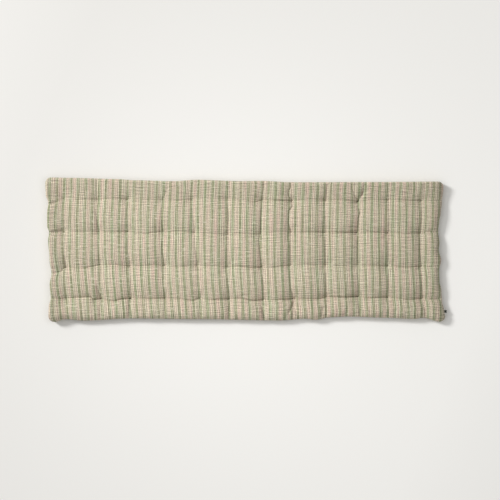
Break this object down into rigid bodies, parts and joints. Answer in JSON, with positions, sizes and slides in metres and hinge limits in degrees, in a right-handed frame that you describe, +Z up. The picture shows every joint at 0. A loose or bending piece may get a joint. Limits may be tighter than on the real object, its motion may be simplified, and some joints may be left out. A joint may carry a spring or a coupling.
{
  "type": "sofa topper",
  "caption": "Long tufted pad of striped woven cloth, filled and softly crowned, laid over a sofa or bench seat, with a small side tab.",
  "frame": {"origin": "middle of the bounding box in plan, on the surface that the pad rests on", "axes": "+X along the length, +Y from the front edge to the back edge, +Z up through the thickness"},
  "size_m": [1.833, 0.6636, 0.0564],
  "materials": {
    "striped_cloth": "matt woven cotton and linen, green and rose stripes on cream",
    "dark_tape": "matt woven tape, dark green"
  },
  "bodies": {
    "root": {"topper_pad": "striped_cloth", "side_tab": "dark_tape"}
  },
  "joints": []
}
